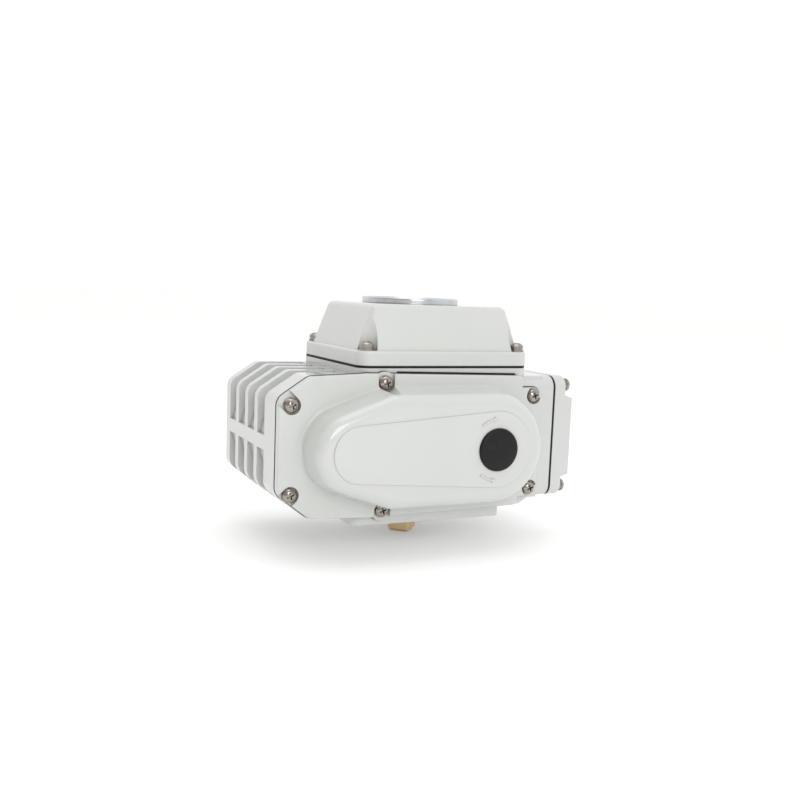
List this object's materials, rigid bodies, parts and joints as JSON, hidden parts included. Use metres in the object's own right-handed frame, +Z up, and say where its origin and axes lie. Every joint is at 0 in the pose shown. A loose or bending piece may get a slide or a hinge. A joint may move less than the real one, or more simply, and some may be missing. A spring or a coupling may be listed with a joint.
{
  "type": "quarter-turn electric valve actuator",
  "caption": "Compact white motorized quarter-turn valve actuator with a finned motor end, gear cover, window and square drive stub.",
  "frame": {"origin": "output shaft's axis at the face that bolts to the valve", "axes": "+Z up along the output shaft away from the valve, -Y towards the gear cover, +X towards the terminal box"},
  "size_m": [0.2299, 0.1544, 0.1765],
  "materials": {
    "white_paint": "die-cast, gloss white powder coat",
    "gasket_rubber": "satin",
    "plug_rubber": "satin",
    "stainless": "polished heads",
    "zinc_steel": "bright zinc",
    "shaft_steel": "yellow passivated",
    "gear_steel": "hobbed and oiled",
    "bearing_steel": "ground",
    "bronze": "machined",
    "bezel_metal": "bright turned",
    "raw_aluminium": "cast",
    "lamination": "varnished",
    "copper": "enamelled wire",
    "window": "clear",
    "black_plastic": "moulded",
    "grey_plastic": "moulded",
    "cam_plastic": "moulded",
    "cam_green": "moulded",
    "dial_plastic": "moulded"
  },
  "bodies": {
    "housing": {"capacitor_clip": "zinc_steel", "earth_screw": "bronze", "flange_screws": "zinc_steel", "front_cover": "white_paint", "front_cover_gasket": "gasket_rubber", "front_cover_screws": "stainless", "front_cover_washers": "stainless", "idler_pins": "gear_steel", "lever_pins": "zinc_steel", "limit_switches": "black_plastic", "lower_bush": "bronze", "main_housing": "white_paint", "motor_bearings": "bearing_steel", "motor_bracket": "raw_aluminium", "motor_bracket_screws": "zinc_steel", "motor_capacitor": "grey_plastic", "motor_end_plate": "raw_aluminium", "mounting_flange": "white_paint", "output_seal": "gasket_rubber", "stator_core": "lamination", "stator_windings": "copper", "stop_pins": "zinc_steel", "switch_bracket": "zinc_steel", "switch_screws": "zinc_steel", "switch_spacers": "zinc_steel", "terminal_block": "grey_plastic", "terminal_block_screws": "zinc_steel", "terminal_cover": "white_paint", "terminal_cover_gasket": "gasket_rubber", "terminal_cover_screws": "stainless", "terminal_cover_washers": "stainless", "top_cover": "white_paint", "top_cover_gasket": "gasket_rubber", "top_cover_screws": "stainless", "top_cover_washers": "stainless", "upper_bush": "bronze", "window_bezel": "bezel_metal", "window_lens": "window", "window_seal": "gasket_rubber", "worm_bearings": "bearing_steel"},
    "output": {"output_shaft": "shaft_steel", "wheel_key": "zinc_steel", "worm_wheel": "bronze", "shaft_circlip": "zinc_steel", "stop_arm": "gear_steel", "close_cam": "cam_green", "open_cam": "cam_plastic", "indicator_post": "black_plastic", "indicator_dial": "dial_plastic", "indicator_pointer": "cam_plastic"},
    "worm": {"worm_shaft": "gear_steel", "worm_drive_gear": "gear_steel"},
    "second_idler": {"second_idler_gear": "gear_steel"},
    "first_idler": {"first_idler_gear": "gear_steel"},
    "rotor": {"motor_shaft": "gear_steel", "motor_rotor": "raw_aluminium", "motor_pinion": "gear_steel"},
    "plug": {"manual_drive_plug": "plug_rubber"},
    "close_lever": {"close_switch_lever": "zinc_steel"},
    "open_lever": {"open_switch_lever": "zinc_steel"}
  },
  "joints": [
    {"name": "output_turn", "type": "hinge", "parent": "housing", "child": "output", "pos_m": [0, 0, 0], "axis": [0, 0, 1], "range_deg": [0, 90]},
    {"name": "worm_turn", "type": "hinge", "parent": "housing", "child": "worm", "pos_m": [0.0285, 0, 0.055], "axis": [0, -1, 0], "range_deg": [0, 2700]},
    {"name": "second_idler_turn", "type": "hinge", "parent": "housing", "child": "second_idler", "pos_m": [-0.0135, -0.065, 0.055], "axis": [0, -1, 0], "range_deg": [-9900, 0]},
    {"name": "first_idler_turn", "type": "hinge", "parent": "housing", "child": "first_idler", "pos_m": [-0.0475, -0.075, 0.055], "axis": [0, -1, 0], "range_deg": [0, 32175]},
    {"name": "rotor_turn", "type": "hinge", "parent": "housing", "child": "rotor", "pos_m": [-0.0765, 0, 0.055], "axis": [0, -1, 0], "range_deg": [-101122, 0]},
    {"name": "plug_pull", "type": "slide", "parent": "housing", "child": "plug", "axis": [0, -1, 0], "range_m": [0, 0.03]},
    {"name": "close_lever_press", "type": "hinge", "parent": "housing", "child": "close_lever", "pos_m": [0.008, 0.022, 0.0838], "axis": [0, 0, -1], "range_deg": [0, 6], "stiffness_Nm_per_rad": 0.02},
    {"name": "open_lever_press", "type": "hinge", "parent": "housing", "child": "open_lever", "pos_m": [0.008, 0.022, 0.0944], "axis": [0, 0, -1], "range_deg": [0, 6], "stiffness_Nm_per_rad": 0.02}
  ],
  "couplings": [
    {"joint": "worm_turn", "follows": "output_turn", "ratio": 30},
    {"joint": "second_idler_turn", "follows": "output_turn", "ratio": -110},
    {"joint": "first_idler_turn", "follows": "output_turn", "ratio": 357.5},
    {"joint": "rotor_turn", "follows": "output_turn", "ratio": -1123.6}
  ]
}
